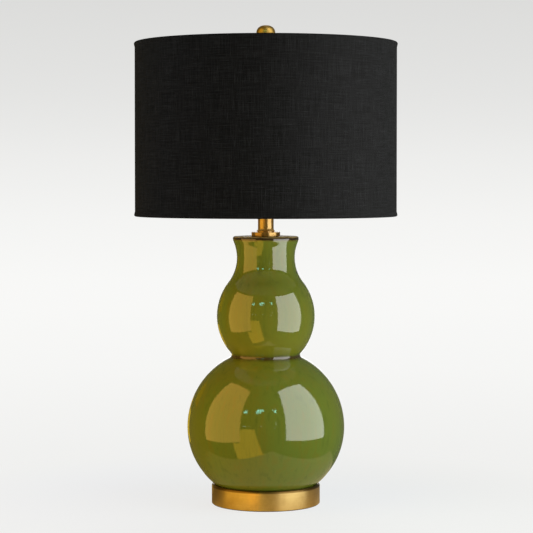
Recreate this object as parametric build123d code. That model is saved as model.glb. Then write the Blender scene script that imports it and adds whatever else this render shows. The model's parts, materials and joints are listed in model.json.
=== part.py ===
from build123d import *
import math
import os

os.makedirs("parts", exist_ok=True)

# A table lamp: a glazed double gourd in a brass foot, with a harp that carries a drum shade.
# Millimetres. Z is up and is the lamp's own axis, Z = 0 is the table, -Y is the front.
# The harp stands in the XZ plane, and the cord leaves at the back, towards +Y.

# Clearances
slip = 0.1  # round pieces that slide or turn in each other, radial
seat_gap = 0.1  # faces of two moving pieces that rest on each other
cloth_gap = 0.1  # shade cloth to what it wraps

# Felt and brass foot
felt_thick = 1.0
felt_inset = 1.5
foot_radius = 83.9
foot_height = 29.6
foot_rounding = 3.0
foot_wall = 2.5
foot_flange = 12.0
foot_ledge = 4.7
foot_web_drop = 11.6
foot_web_thick = 2.5
foot_gasket_thick = 1.0
foot_gasket_width = 12.0
foot_gasket_inset = 3.0
gourd_to_foot = 0.3

# Cord inlet in the foot's back wall
inlet_bore = 3.9
inlet_bush_wall = 1.2
inlet_lip = 1.6
inlet_lip_width = 1.3

# Gourd: radius and height of each place where its outline turns, joined by arcs.
# The rises count from the lower bulb's widest place, and the neck's drop from the mouth.
gourd_height = 394.0
gourd_foot_taper = 16.3
lower_radius = 121.87
lower_height = 98.93
waist_radius = 50.17
waist_rise = 110.2
waist_fillet = 4.5
upper_radius = 75.98
upper_rise = 171.77
shoulder_share = 0.585  # the bulb's part of the two arcs that make the shoulder
neck_radius = 44.98
neck_drop = 32.66
neck_arc = 61.48
lip_height = 6.4
lip_width = 3.3
lip_round = 5.1
gourd_wall = 6.5
gourd_floor = 8.0
foot_ring_width = 17.0
foot_ring_depth = 3.0
gourd_floor_hole = 20.0
gourd_top_hole = 8.0

# Threaded pipe that clamps the stack, with its washers and nuts
pipe_radius = 4.9
pipe_bore = 3.5
pipe_below_nut = 3.0
pipe_in_hub = 3.6
nut_flats = 14.0
nut_height = 4.5
washer_radius = 19.0
washer_thick = 1.2

# Brass check ring and neck
top_gasket_radius = 20.0
top_gasket_thick = 0.5
check_radius = 22.2
check_height = 6.5
neck_tube_radius = 12.2
neck_tube_height = 45.0
neck_flare_radius = 14.3
neck_flare_height = 4.5
neck_flare_arc = 5.6
neck_tube_wall = 1.3
neck_tube_cap = 2.0

# Harp saddle
saddle_thick = 1.6
saddle_hub = 11.0
saddle_strap = 7.0
leg_spacing = 67.0
prong_height = 12.4
prong_wall = 0.7

# Harp, its ferrules and its swivel stud
harp_wire = 1.6
harp_height = 230.0
harp_half_width = 56.0
harp_leg_straight = 37.0
harp_bow_start = 80.0
harp_bow_end = 52.3  # below the top wire
harp_top_run = 30.0
harp_bends = (60.0, 60.0, 60.0, 30.0)
harp_wire_in_plate = 4.0
plate_length = 26.0
plate_width = 14.0
plate_thick = 2.0
ferrule_wall = 0.8
ferrule_length = 14.0
ferrule_lift = 0.3
stud_neck = 2.4
stud_head = 4.2
stud_head_thick = 1.5
stud_shoulder = 7.0
stud_shoulder_thick = 1.3
stud_thread = 3.175
stud_thread_length = 11.0

# Socket
cap_hub_radius = 7.5
cap_hub_height = 6.0
cap_radius = 17.6
cap_height = 23.5
cap_rim = 8.0
sheet = 0.8
shell_length = 45.0
shell_in_cap = 7.0
liner_thick = 0.8
liner_inset = 1.0
body_length = 20.0
body_flat = 11.5
thread_shell_bore = 13.15
thread_shell_wall = 0.45
thread_shell_length = 22.0
contact_length = 11.0
contact_width = 4.5
contact_rise = 2.6
contact_thick = 0.5
terminal_head = 3.2
terminal_head_thick = 1.6
terminal_shank = 1.6
terminal_length = 4.0
terminal_slot = (0.9, 0.6)  # width and depth
set_screw_radius = 1.5
set_screw_length = 5.0
set_screw_height = 2.6
set_screw_slot = (1.6, 0.25)  # width and depth

# Turn knob of the switch
shaft_radius = 2.4
shaft_inside = 9.0
shaft_length = 20.0
shaft_height = 10.0
shaft_clearance = 0.4
knob_radius = 6.4
knob_length = 13.0
knob_from_shell = 2.2
knob_ribs = 12
knob_groove = 0.8
knob_chamfer = 1.0

# LED bulb
bulb_radius = 29.5
bulb_length = 109.0
bulb_tip_radius = 5.0
bulb_tip_height = 1.2
bulb_insulator = 2.4
bulb_cap_chamfer = 1.5
bulb_cap_radius = 12.95
bulb_cap_length = 22.0
bulb_housing_length = 33.0
bulb_housing_arc = 78.0
bulb_neck_radius = 14.2
bulb_globe_seat = 27.0
bulb_globe_wall = 1.5

# Drum shade
shade_height = 268.2
shade_radius = 202.3
shade_bottom = 445.3
cloth_thick = 0.7
shade_liner_thick = 1.0
ring_wire = 1.6
ring_sides = 6
ring_inset = 1.3
hem_thick = 0.9
hem_height = 8.0
hem_return = 12.0
hem_corner = 1.2
arm_count = 3
arm_first = 90.0
arm_wire = 1.6
arm_bend = 8.0
arm_step_run = 10.5
arm_outer_run = 10.0
arm_in_hub = 1.0
hub_ring_radius = 8.5
hub_ring_thick = 1.5
hub_ring_slip = 0.4

# Finial
finial_washer_radius = 8.0
finial_washer_thick = 0.8
finial_base_radius = 8.2
finial_base_height = 2.5
finial_waist = 5.2
finial_cove = 4.5
finial_cove_arc = 5.3
finial_spool_height = 12.5
finial_collar = 7.0
finial_collar_height = 1.5
finial_collar_under = 2.0
finial_collar_over = 1.2
finial_throat = 5.0
finial_ball_radius = 14.6
finial_ball_half = 11.5
finial_ball_side = 9.5
finial_ball_height = 27.1
finial_tap_depth = 12.0

# Heights that follow from the sizes above
foot_z = felt_thick
foot_top = foot_z + foot_height
web_top = foot_top - foot_web_drop
web_z = web_top - foot_web_thick
inlet_z = (foot_z + foot_wall + web_z) / 2
gourd_z = web_top + foot_gasket_thick
lower_z = gourd_z + lower_height
waist_z = lower_z + waist_rise
upper_z = lower_z + upper_rise
gourd_top = gourd_z + gourd_height
neck_z = gourd_top - neck_drop
check_z = gourd_top + top_gasket_thick
check_top = check_z + check_height
neck_top = check_top + neck_tube_height
saddle_top = neck_top + saddle_thick
cap_z = saddle_top + nut_height
cap_top = cap_z + cap_height
shell_z = cap_top - shell_in_cap
shell_top = shell_z + shell_length
body_z = shell_z + liner_inset
body_top = body_z + body_length
shaft_z = body_z + shaft_height
bulb_z = body_top + contact_rise + slip
leg_z = saddle_top + seat_gap
leg_x = leg_spacing / 2
plate_top = neck_top + harp_height + plate_thick
wire_z = plate_top - plate_thick / 2
shoulder_z = plate_top + seat_gap
shoulder_top = shoulder_z + stud_shoulder_thick
hub_ring_z = shoulder_top + seat_gap
hub_ring_top = hub_ring_z + hub_ring_thick
finial_washer_z = hub_ring_top + seat_gap
finial_z = finial_washer_z + finial_washer_thick + seat_gap
stud_top = shoulder_top + stud_thread_length
shade_top = shade_bottom + shade_height
foot_lip = foot_radius - foot_ledge
gourd_seat_radius = foot_lip - gourd_to_foot
gourd_foot_radius = gourd_seat_radius - gourd_foot_taper
pipe_hole = pipe_radius + slip
prong_bore = harp_wire + slip
prong_radius = prong_bore + prong_wall
ferrule_bore = prong_radius + slip
ferrule_z = saddle_top + ferrule_lift

# Radii of the shade's layers, from the cloth inwards
cloth_bore = shade_radius - cloth_thick
liner_radius = cloth_bore - cloth_gap
liner_bore = liner_radius - shade_liner_thick
ring_radius = shade_radius - ring_inset
ring_top_z = shade_top - hem_thick - cloth_gap - ring_wire
ring_bottom_z = shade_bottom + hem_thick + cloth_gap + ring_wire

# Radii of the socket's layers, from the cap inwards
shell_radius = cap_radius - sheet - slip
socket_liner_radius = shell_radius - sheet - slip
body_radius = socket_liner_radius - liner_thick - slip


def turned(*edges):
    """A solid turned about Z from a closed outline of edges, each drawn as (radius, height)."""
    return revolve(Plane.XZ * make_face(list(edges)), Axis.Z)


def lathe(*points):
    """A solid turned about Z from the corners of its section, each given as (radius, height)."""
    return turned(Polyline(*points, close=True))


def tube(outer, bore, low, high):
    return lathe((bore, low), (outer, low), (outer, high), (bore, high))


def rod_along_y(radius, start, end, height, x=0.0):
    """A round bar from Y = start to Y = end."""
    place = Plane(origin=(x, start, height), z_dir=(0, 1, 0))
    return extrude(place * Circle(radius), end - start)


def rod_along_x(radius, start, end, height):
    """A round bar from X = start to X = end."""
    place = Plane(origin=(start, 0, height), z_dir=(1, 0, 0))
    return extrude(place * Circle(radius), end - start)


def wire_along(radius, path):
    return sweep(Plane(origin=path @ 0, z_dir=path % 0) * Circle(radius), path)


def bulge_arc(wide, narrow, height):
    """Radius of the arc that is upright at its wide end and narrows over a height."""
    inset = wide - narrow
    return (inset**2 + height**2) / (2 * inset)


def on_circle(centre, radius, degrees):
    turn = math.radians(degrees)
    return (centre[0] + radius * math.cos(turn), centre[1] + radius * math.sin(turn))


def bearing(centre, point):
    """The direction from a circle's centre to a point, in degrees."""
    return math.degrees(math.atan2(point[1] - centre[1], point[0] - centre[0]))


def points_between(centre, radius, start, end, *shares):
    """Points on a circle, at shares of the short way between the bearings of two points."""
    first = bearing(centre, start)
    turn = (bearing(centre, end) - first + 180) % 360 - 180
    return [on_circle(centre, radius, first + share * turn) for share in shares]


def arc_between(centre, radius, start, end):
    """The arc of a circle from one of its points to another, the short way."""
    return ThreePointArc(start, *points_between(centre, radius, start, end, 0.5), end)


# Places on the gourd's outline, and the arcs that join them. The two arcs of the shoulder
# touch each other, so their radii add up to that of one arc over the shoulder's height.
seat_point = (gourd_seat_radius, foot_top)
lower_point = (lower_radius, lower_z)
waist_point = (waist_radius, waist_z)
upper_point = (upper_radius, upper_z)
neck_point = (neck_radius, neck_z)
shoulder_arcs = bulge_arc(upper_radius, neck_radius, neck_z - upper_z)
lower_arc_down = bulge_arc(lower_radius, gourd_seat_radius, lower_z - foot_top)
lower_arc_up = bulge_arc(lower_radius, waist_radius, waist_rise)
upper_arc_down = bulge_arc(upper_radius, waist_radius, upper_z - waist_z)
upper_arc_up = shoulder_arcs * shoulder_share
neck_arc_down = shoulder_arcs - upper_arc_up
lower_down_centre = (lower_radius - lower_arc_down, lower_z)
lower_up_centre = (lower_radius - lower_arc_up, lower_z)
upper_down_centre = (upper_radius - upper_arc_down, upper_z)
upper_up_centre = (upper_radius - upper_arc_up, upper_z)
neck_down_centre = (neck_radius + neck_arc_down, neck_z)
neck_up_centre = (neck_radius + neck_arc, neck_z)
shoulder_point = on_circle(upper_up_centre, upper_arc_up, bearing(upper_up_centre, neck_down_centre))
lip_z = gourd_top - lip_height
lip_point = (neck_up_centre[0] - math.sqrt(neck_arc**2 - (lip_z - neck_z) ** 2), lip_z)


def base_felt():
    return Pos(0, 0, felt_thick / 2) * Cylinder(foot_radius - felt_inset, felt_thick)


def base_ring():
    """Spun brass foot: a rounded wall, a lip round the gourd, an inner web and a turned-in flange."""
    bore = foot_radius - foot_wall
    flange = foot_radius - foot_flange
    shoulder = (foot_radius, foot_top - foot_rounding)
    crown = (foot_radius - foot_rounding, foot_top)
    inner = Polyline(
        crown,
        (foot_lip, foot_top),
        (foot_lip, foot_top - foot_wall),
        (bore, foot_top - foot_wall),
        (bore, web_top),
        (pipe_hole, web_top),
        (pipe_hole, web_z),
        (bore, web_z),
        (bore, foot_z + foot_wall),
        (flange, foot_z + foot_wall),
        (flange, foot_z),
        (foot_radius, foot_z),
        shoulder,
    )
    foot = turned(inner, RadiusArc(shoulder, crown, -foot_rounding))
    hole = rod_along_y(inlet_bore + inlet_bush_wall, 0, foot_radius, inlet_z)
    return foot - hole


def cord_bush():
    """Rubber bush in the foot's back wall, with a lip on each side of the wall."""
    neck = inlet_bore + inlet_bush_wall
    lip = neck + inlet_lip_width
    wall_in = foot_radius - foot_wall
    outer_face = foot_radius + inlet_lip
    bush = rod_along_y(neck, wall_in - inlet_lip, outer_face, inlet_z)
    flanges = rod_along_y(lip, wall_in - inlet_lip, outer_face, inlet_z)
    wall = lathe(
        (wall_in, foot_z),
        (foot_radius, foot_z),
        (foot_radius, web_z),
        (wall_in, web_z),
    )
    bore = rod_along_y(inlet_bore, wall_in - 2 * inlet_lip, outer_face + inlet_lip, inlet_z)
    return bush + (flanges - wall) - bore


def foot_gasket():
    outer = gourd_foot_radius - foot_gasket_inset
    return tube(outer, outer - foot_gasket_width, web_top, gourd_z)


def gourd_outline():
    """The outer side of the gourd, from its foot to its mouth."""
    mouth = (lip_point[0] - lip_width, gourd_top)
    return [
        Line((gourd_foot_radius, gourd_z), seat_point),
        arc_between(lower_down_centre, lower_arc_down, seat_point, lower_point),
        arc_between(lower_up_centre, lower_arc_up, lower_point, waist_point),
        arc_between(upper_down_centre, upper_arc_down, waist_point, upper_point),
        arc_between(upper_up_centre, upper_arc_up, upper_point, shoulder_point),
        arc_between(neck_down_centre, neck_arc_down, shoulder_point, neck_point),
        arc_between(neck_up_centre, neck_arc, neck_point, lip_point),
        RadiusArc(lip_point, mouth, -lip_round),
    ]


def cavity_points():
    """Corners of the hollow, a wall inside each arc, from the mouth down to the foot."""
    wall = gourd_wall
    floor = gourd_z + gourd_floor
    recess = gourd_z + foot_ring_depth
    foot_bore = gourd_foot_radius - foot_ring_width
    return [
        (gourd_top_hole, gourd_top),
        (gourd_top_hole, gourd_top - wall),
        (lip_point[0] - wall, gourd_top - wall),
        (neck_radius - wall, neck_z),
        *points_between(neck_down_centre, neck_arc_down + wall, neck_point, shoulder_point, 0.5, 1),
        *points_between(upper_up_centre, upper_arc_up - wall, shoulder_point, upper_point, 0.5, 1),
        *points_between(upper_down_centre, upper_arc_down - wall, upper_point, waist_point, 0.5),
        (waist_radius - wall, waist_z),
        *points_between(lower_up_centre, lower_arc_up - wall, waist_point, lower_point, 0.4, 0.7, 1),
        *points_between(lower_down_centre, lower_arc_down - wall, lower_point, seat_point, 0.5, 1),
        (foot_bore, floor),
        (gourd_floor_hole, floor),
        (gourd_floor_hole, recess),
        (foot_bore, recess),
        (foot_bore, gourd_z),
        (gourd_foot_radius, gourd_z),
    ]


def gourd_body():
    """Hollow glazed stoneware, with a foot ring below and a pipe hole at each end."""
    outline = gourd_outline()
    inner = cavity_points()
    mouth = outline[-1] @ 1
    inner_line = Polyline((mouth.X, mouth.Y), *inner)
    section = make_face(outline + [inner_line])
    crease = section.vertices().sort_by_distance((waist_radius, waist_z, 0))[0]
    section = fillet(crease, waist_fillet)
    return revolve(Plane.XZ * section, Axis.Z)


def top_gasket():
    return tube(top_gasket_radius, pipe_hole, gourd_top, check_z)


def check_ring():
    return tube(check_radius, pipe_hole, check_z, check_top)


def neck_tube():
    """Drawn brass tube with a coved foot and a closed top that the saddle sits on."""
    flare = (neck_flare_radius, check_top)
    above_flare = (neck_tube_radius, check_top + neck_flare_height)
    cove = RadiusArc(flare, above_flare, neck_flare_arc)
    bore = neck_tube_radius - neck_tube_wall
    wall = Polyline(
        above_flare,
        (neck_tube_radius, neck_top),
        (pipe_hole, neck_top),
        (pipe_hole, neck_top - neck_tube_cap),
        (bore, neck_top - neck_tube_cap),
        (bore, check_top),
        flare,
    )
    return turned(cove, wall)


def lamp_pipe():
    low = web_z - washer_thick - nut_height - pipe_below_nut
    return tube(pipe_radius, pipe_bore, low, cap_z + pipe_in_hub)


def pipe_washer():
    return tube(washer_radius, pipe_hole, web_z - washer_thick, web_z)


def lock_nuts():
    """Two hexagon nuts on the pipe: one under the foot's web and one on the harp saddle."""
    flat = RegularPolygon(nut_flats / 2, 6, major_radius=False) - Circle(pipe_hole)
    nut = extrude(flat, nut_height)
    below = Pos(0, 0, web_z - washer_thick - nut_height) * nut
    above = Pos(0, 0, saddle_top) * nut
    return Compound(children=[below, above])


def harp_saddle():
    """Flat strap under the socket, with an upright half tube at each end for the harp's legs."""
    strap = Rectangle(leg_spacing, saddle_strap)
    ends = Pos(leg_x, 0) * Circle(saddle_strap / 2) + Pos(-leg_x, 0) * Circle(saddle_strap / 2)
    flat = strap + ends + Circle(saddle_hub) - Circle(pipe_hole)
    saddle = Pos(0, 0, neck_top) * extrude(flat, saddle_thick)
    ring = Circle(prong_radius) - Circle(prong_bore)
    half = ring - Pos(prong_radius, 0) * Rectangle(2 * prong_radius, 2 * prong_radius)
    prong = Pos(leg_x, 0, saddle_top) * extrude(half, prong_height)
    return saddle + prong + mirror(prong, Plane.YZ)


def ferrule(side):
    """Sleeve that slides down over a harp leg and the saddle's half tube."""
    outer = ferrule_bore + ferrule_wall
    sleeve = tube(outer, ferrule_bore, ferrule_z, ferrule_z + ferrule_length)
    return Pos(side * leg_x, 0, 0) * sleeve


def harp_bow():
    """Bent wire loop whose top is pressed flat and pierced for the swivel stud."""
    run = FilletPolyline(
        (leg_x, 0, leg_z),
        (leg_x, 0, leg_z + harp_leg_straight),
        (harp_half_width, 0, leg_z + harp_bow_start),
        (harp_half_width, 0, wire_z - harp_bow_end),
        (harp_top_run, 0, wire_z),
        (plate_length / 2 - harp_wire_in_plate, 0, wire_z),
        radius=harp_bends,
    )
    side = wire_along(harp_wire, run)
    flat = SlotOverall(plate_length, plate_width) - Circle(stud_neck + slip)
    plate = Pos(0, 0, plate_top - plate_thick) * extrude(flat, plate_thick)
    return side + mirror(side, Plane.YZ) + plate


def harp_stud():
    """Threaded stud riveted through the harp's top, free to swivel, with a shoulder for the shade."""
    head_top = plate_top - plate_thick - seat_gap
    return lathe(
        (0, head_top - stud_head_thick),
        (stud_head, head_top - stud_head_thick),
        (stud_head, head_top),
        (stud_neck, head_top),
        (stud_neck, shoulder_z),
        (stud_shoulder, shoulder_z),
        (stud_shoulder, shoulder_top),
        (stud_thread, shoulder_top),
        (stud_thread, stud_top),
        (0, stud_top),
    )


def socket_cap():
    """Brass cap: a threaded hub that opens into a cup for the shell."""
    hub_top = cap_z + cap_hub_height
    cup_z = cap_top - cap_rim
    cup = lathe(
        (pipe_hole, cap_z),
        (cap_hub_radius, cap_z),
        (cap_hub_radius, hub_top - sheet),
        (cap_radius, cup_z),
        (cap_radius, cap_top),
        (cap_radius - sheet, cap_top),
        (cap_radius - sheet, cup_z + sheet / 2),
        (cap_hub_radius, hub_top),
        (pipe_hole, hub_top),
    )
    return cup - set_screw_bar(set_screw_radius)


def set_screw_bar(radius):
    """The line of the cap's set screw, from the pipe out through the hub at the back."""
    start = pipe_hole
    return rod_along_y(radius, start, start + set_screw_length, cap_z + set_screw_height)


def cap_set_screw():
    """Slotted screw that locks the cap on the pipe."""
    screw = set_screw_bar(set_screw_radius - slip / 2)
    end = pipe_hole + set_screw_length
    width, depth = set_screw_slot
    slot = Pos(0, end, cap_z + set_screw_height) * Box(4 * set_screw_radius, 2 * depth, width)
    return screw - slot - Cylinder(pipe_hole + slip, 4 * cap_z)


def socket_shell():
    """Brass sleeve with a rolled mouth and a hole for the switch shaft."""
    low = shell_z
    mouth = shell_top
    shell = lathe(
        (shell_radius - sheet, low),
        (shell_radius, low),
        (shell_radius, mouth - 3 * sheet),
        (shell_radius + sheet, mouth - 2 * sheet),
        (shell_radius + sheet, mouth - sheet),
        (shell_radius, mouth),
        (shell_radius - sheet, mouth),
    )
    return shell - rod_along_y(shaft_radius + shaft_clearance, -cap_radius - sheet, 0, shaft_z)


def socket_liner():
    """Fibre sleeve between the shell and the live parts."""
    sleeve = tube(
        socket_liner_radius,
        socket_liner_radius - liner_thick,
        body_z,
        shell_top - liner_inset,
    )
    return sleeve - rod_along_y(shaft_radius + shaft_clearance, -cap_radius, 0, shaft_z)


def terminal_height():
    return body_z + body_length / 2


def socket_body():
    """Moulded block that holds the switch and the contacts, cut flat at its two terminals."""
    block = Pos(0, 0, body_z + body_length / 2) * Cylinder(body_radius, body_length)
    beyond = Box(body_radius, 2 * body_radius, body_length)
    for side in (-1, 1):
        block -= Pos(side * (body_flat + body_radius / 2), 0, terminal_height()) * beyond
    block -= rod_along_y(shaft_radius + slip, -body_radius, -shaft_inside + slip, shaft_z)
    for side in (-1, 1):
        hole = rod_along_x(terminal_shank, body_flat - terminal_length, body_flat, terminal_height())
        block -= hole if side > 0 else mirror(hole, Plane.YZ)
    return block


def terminal_screws():
    """Two cheese-head screws, one for each lead."""
    height = terminal_height()
    shank = rod_along_x(terminal_shank, body_flat - terminal_length, body_flat, height)
    head = rod_along_x(terminal_head, body_flat, body_flat + terminal_head_thick, height)
    width, depth = terminal_slot
    slot = Pos(body_flat + terminal_head_thick, 0, height) * Box(2 * depth, width, 3 * terminal_head)
    screw = shank + head - slot
    return Compound(children=[screw, mirror(screw, Plane.YZ)])


def screw_shell():
    """Threaded socket sleeve that takes the bulb's cap, with a flange on the moulded block."""
    outer = thread_shell_bore + thread_shell_wall
    top = body_top + thread_shell_length
    return lathe(
        (contact_length / 2 + sheet, body_top),
        (outer, body_top),
        (outer, top),
        (thread_shell_bore, top),
        (thread_shell_bore, body_top + thread_shell_wall),
        (contact_length / 2 + sheet, body_top + thread_shell_wall),
    )


def centre_contact():
    """Bent brass tongue under the bulb's tip."""
    half = contact_length / 2
    top = contact_rise
    section = make_face(
        Polyline(
            (-half, 0),
            (-half / 2, 0),
            (half / 3, top - contact_thick),
            (half, top - contact_thick),
            (half, top),
            (half / 3, top),
            (-half / 2, contact_thick),
            (-half, contact_thick),
            close=True,
        )
    )
    place = Plane(origin=(0, contact_width / 2, body_top), x_dir=(1, 0, 0), z_dir=(0, -1, 0))
    return extrude(place * section, contact_width)


def switch_shaft():
    return rod_along_y(shaft_radius, -shaft_inside - shaft_length, -shaft_inside, shaft_z)


def knob_face():
    """Y of the knob's inner face, just clear of the socket shell."""
    return -(shell_radius + knob_from_shell)


def switch_knob():
    """Turn knob with finger grooves, bored for the end of the shaft."""
    inner = knob_face()
    knob = rod_along_y(knob_radius, inner - knob_length, inner, shaft_z)
    knob = chamfer(knob.edges().group_by(Axis.Y)[0], knob_chamfer)
    groove = rod_along_y(knob_groove, inner - knob_length, inner - 2 * knob_groove, 0)
    for i in range(knob_ribs):
        x, z = on_circle((0, shaft_z), knob_radius, i * 360 / knob_ribs)
        knob -= Pos(x, 0, z) * groove
    return knob - rod_along_y(shaft_radius, -shaft_inside - shaft_length, inner, shaft_z)


def bulb_tip():
    return Pos(0, 0, bulb_z + bulb_tip_height / 2) * Cylinder(bulb_tip_radius, bulb_tip_height)


def bulb_cap():
    """Screw cap of the bulb, narrowed by its insulator at the tip."""
    low = bulb_z + bulb_tip_height
    return lathe(
        (0, low),
        (bulb_tip_radius, low),
        (bulb_cap_radius - bulb_cap_chamfer, low + bulb_insulator),
        (bulb_cap_radius, low + bulb_insulator + bulb_cap_chamfer),
        (bulb_cap_radius, low + bulb_cap_length),
        (0, low + bulb_cap_length),
    )


def bulb_housing_z():
    return bulb_z + bulb_tip_height + bulb_cap_length


def bulb_housing():
    """Moulded shoulder that carries the globe."""
    low = bulb_housing_z()
    top = low + bulb_housing_length
    neck = (bulb_neck_radius, low)
    rim = (bulb_globe_seat, top)
    return turned(
        RadiusArc(neck, rim, bulb_housing_arc),
        Polyline(rim, (0, top), (0, low), neck),
    )


def bulb_globe():
    """Frosted hollow dome of the bulb."""
    low = bulb_housing_z() + bulb_housing_length
    top = bulb_z + bulb_length
    wide_z = top - bulb_radius
    seat = (bulb_globe_seat, low)
    wide = (bulb_radius, wide_z)
    side_arc = bulge_arc(bulb_radius, bulb_globe_seat, wide_z - low)
    inner = bulb_radius - bulb_globe_wall
    hollow = [on_circle((0, wide_z), inner, turn) for turn in (90, 60, 30, 0)]
    return turned(
        arc_between((bulb_radius - side_arc, wide_z), side_arc, seat, wide),
        arc_between((0, wide_z), bulb_radius, wide, (0, top)),
        Polyline((0, top), *hollow, (bulb_globe_seat - bulb_globe_wall, low), seat),
    )


def hem_points(edge, inward):
    """Section of a rolled hem, from the cloth's outer side round the wire to the turned-in end.

    edge is the height of the shade's edge, and inward is -1 at the top and +1 at the bottom.
    """
    wire_half = ring_wire + cloth_gap
    pocket_out = ring_radius + wire_half
    pocket_in = ring_radius - wire_half
    pocket_end = edge + inward * (hem_thick + 2 * wire_half)
    flap = liner_bore - cloth_gap
    outside = [
        (shade_radius, edge + inward * hem_height),
        (pocket_out + hem_thick, pocket_end),
        (pocket_out + hem_thick, edge + inward * hem_corner),
        (pocket_out + hem_thick - hem_corner, edge),
        (pocket_in - hem_thick + hem_corner, edge),
        (pocket_in - hem_thick, edge + inward * hem_corner),
        (pocket_in - hem_thick, pocket_end),
        (flap - cloth_thick, edge + inward * hem_height),
        (flap - cloth_thick, edge + inward * hem_return),
    ]
    inside = [
        (flap, edge + inward * hem_return),
        (flap, edge + inward * hem_height),
        (pocket_in, pocket_end),
        (pocket_in, edge + inward * hem_thick),
        (pocket_out, edge + inward * hem_thick),
        (pocket_out, pocket_end),
        (cloth_bore, edge + inward * hem_height),
    ]
    return outside, inside


def arm_directions():
    return [arm_first + i * 360 / arm_count for i in range(arm_count)]


def shade_fabric():
    """Cloth drum whose two edges are rolled round the wire rings."""
    top_outside, top_inside = hem_points(shade_top, -1)
    low_outside, low_inside = hem_points(shade_bottom, 1)
    cloth = lathe(*top_outside, *top_inside, *reversed(low_inside), *reversed(low_outside))
    slit = rod_along_x(arm_wire + 2 * cloth_gap, ring_radius - hem_return, ring_radius, ring_top_z)
    for turn in arm_directions():
        cloth -= Rot(0, 0, turn) * slit
    return cloth


def shade_liner():
    """White styrene drum that the cloth is laminated to."""
    end = hem_thick + 2 * (ring_wire + cloth_gap) + cloth_gap
    return tube(liner_radius, liner_bore, shade_bottom + end, shade_top - end)


def wire_ring(height):
    section = Pos(ring_radius, height) * RegularPolygon(ring_wire, ring_sides)
    return revolve(Plane.XZ * section, Axis.Z)


def shade_bottom_ring():
    return wire_ring(ring_bottom_z)


def spider_fitter():
    """Top ring with three stepped arms that drop to the washer seated on the harp's stud."""
    arm_z = hub_ring_z + hub_ring_thick / 2
    bend_x = ring_radius - arm_outer_run
    run = FilletPolyline(
        (hub_ring_radius - arm_in_hub, 0, arm_z),
        (bend_x - arm_step_run, 0, arm_z),
        (bend_x, 0, ring_top_z),
        (ring_radius, 0, ring_top_z),
        radius=arm_bend,
    )
    arm = wire_along(arm_wire, run)
    spider = wire_ring(ring_top_z)
    for turn in arm_directions():
        spider += Rot(0, 0, turn) * arm
    bore = stud_thread + hub_ring_slip
    room = Pos(0, 0, arm_z) * Cylinder(hub_ring_radius - arm_in_hub / 2, 4 * arm_wire)
    return spider - room + tube(hub_ring_radius, bore, hub_ring_z, hub_ring_top)


def finial_washer():
    top = finial_washer_z + finial_washer_thick
    return tube(finial_washer_radius, stud_thread + slip, finial_washer_z, top)


def finial():
    """Turned brass finial: a tapped spool below an oval ball made of tangent arcs."""
    z = finial_z
    ball_z = z + finial_ball_height
    side_x = finial_ball_radius - finial_ball_side
    half = finial_ball_half
    shift = (side_x**2 - (half - finial_ball_side) ** 2) / (2 * (half - finial_ball_side))
    cap_arc = half + shift
    below = (0, ball_z + shift)
    above = (0, ball_z - shift)
    side = (side_x, ball_z)
    throat_z = below[1] - math.sqrt(cap_arc**2 - finial_throat**2)
    throat = (finial_throat, throat_z)
    join_low = on_circle(side, finial_ball_side, bearing(below, side))
    join_high = on_circle(side, finial_ball_side, bearing(above, side))
    top = (0, ball_z + half)
    tap = stud_thread + slip
    cove_low = (finial_base_radius, z + finial_base_height)
    cove_high = (finial_waist, z + finial_base_height + finial_cove)
    collar = z + finial_spool_height
    collar_top = collar + finial_collar_height
    return turned(
        Polyline(top, (0, z + finial_tap_depth), (tap, z + finial_tap_depth), (tap, z)),
        Polyline((tap, z), (finial_base_radius, z), cove_low),
        RadiusArc(cove_low, cove_high, finial_cove_arc),
        Polyline(
            cove_high,
            (finial_waist, collar - finial_collar_under),
            (finial_collar, collar),
            (finial_collar, collar_top),
            (finial_throat, collar_top + finial_collar_over),
            throat,
        ),
        arc_between(below, cap_arc, throat, join_low),
        ThreePointArc(join_low, (finial_ball_radius, ball_z), join_high),
        arc_between(above, cap_arc, join_high, top),
    )


pieces = {
    "base_felt": base_felt(),
    "base_ring": base_ring(),
    "cord_bush": cord_bush(),
    "foot_gasket": foot_gasket(),
    "gourd_body": gourd_body(),
    "top_gasket": top_gasket(),
    "check_ring": check_ring(),
    "neck_tube": neck_tube(),
    "lamp_pipe": lamp_pipe(),
    "pipe_washer": pipe_washer(),
    "lock_nuts": lock_nuts(),
    "harp_saddle": harp_saddle(),
    "ferrule_left": ferrule(-1),
    "ferrule_right": ferrule(1),
    "harp_bow": harp_bow(),
    "harp_stud": harp_stud(),
    "socket_cap": socket_cap(),
    "cap_set_screw": cap_set_screw(),
    "socket_shell": socket_shell(),
    "socket_liner": socket_liner(),
    "socket_body": socket_body(),
    "terminal_screws": terminal_screws(),
    "screw_shell": screw_shell(),
    "centre_contact": centre_contact(),
    "switch_shaft": switch_shaft(),
    "switch_knob": switch_knob(),
    "bulb_tip": bulb_tip(),
    "bulb_cap": bulb_cap(),
    "bulb_housing": bulb_housing(),
    "bulb_globe": bulb_globe(),
    "shade_fabric": shade_fabric(),
    "shade_liner": shade_liner(),
    "shade_bottom_ring": shade_bottom_ring(),
    "spider_fitter": spider_fitter(),
    "finial_washer": finial_washer(),
    "finial": finial(),
}

for name, piece in pieces.items():
    export_step(piece, f"parts/{name}.step")
    print(name, round(sum(solid.volume for solid in piece.solids())), "mm3")
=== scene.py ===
import json
from math import atan2, copysign, cos, degrees, dist, hypot, pi, radians, sin, sqrt, tan

import bmesh
import bpy
from mathutils import Matrix, Vector

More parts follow.
